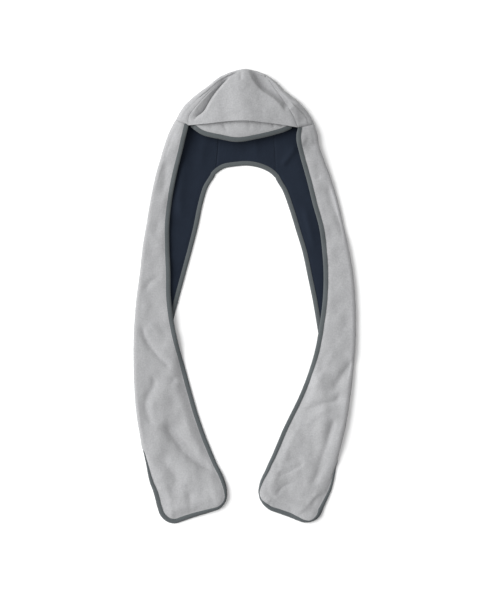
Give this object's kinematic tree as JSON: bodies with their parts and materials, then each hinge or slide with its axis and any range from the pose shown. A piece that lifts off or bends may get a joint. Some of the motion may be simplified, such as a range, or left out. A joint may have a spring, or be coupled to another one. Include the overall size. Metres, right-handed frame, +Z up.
{
  "type": "hooded scarf",
  "caption": "Soft fleece hood with a small brim that runs on into two long scarf ends, lined and bound all round, lying flat as folded for display.",
  "frame": {"origin": "centre of the bounding box, on the surface that the scarf lies on", "axes": "+Z up off that surface, +Y from the scarf ends to the top of the hood, +X to the right as seen from above"},
  "size_m": [0.4929, 1.0006, 0.0423],
  "materials": {
    "grey_fleece": "soft brushed fleece, matt",
    "navy_fleece": "soft brushed fleece, matt",
    "binding_tape": "ribbed knitted binding tape, matt"
  },
  "bodies": {
    "root": {"crown_side_left": "grey_fleece", "scarf_left": "grey_fleece", "lining_left": "navy_fleece", "crown_side_right": "grey_fleece", "scarf_right": "grey_fleece", "lining_right": "navy_fleece", "crown_centre": "grey_fleece", "lining_centre": "navy_fleece", "brim": "grey_fleece", "front_binding_left": "binding_tape", "front_binding_right": "binding_tape", "neck_binding": "binding_tape", "brim_binding": "binding_tape"}
  },
  "joints": []
}
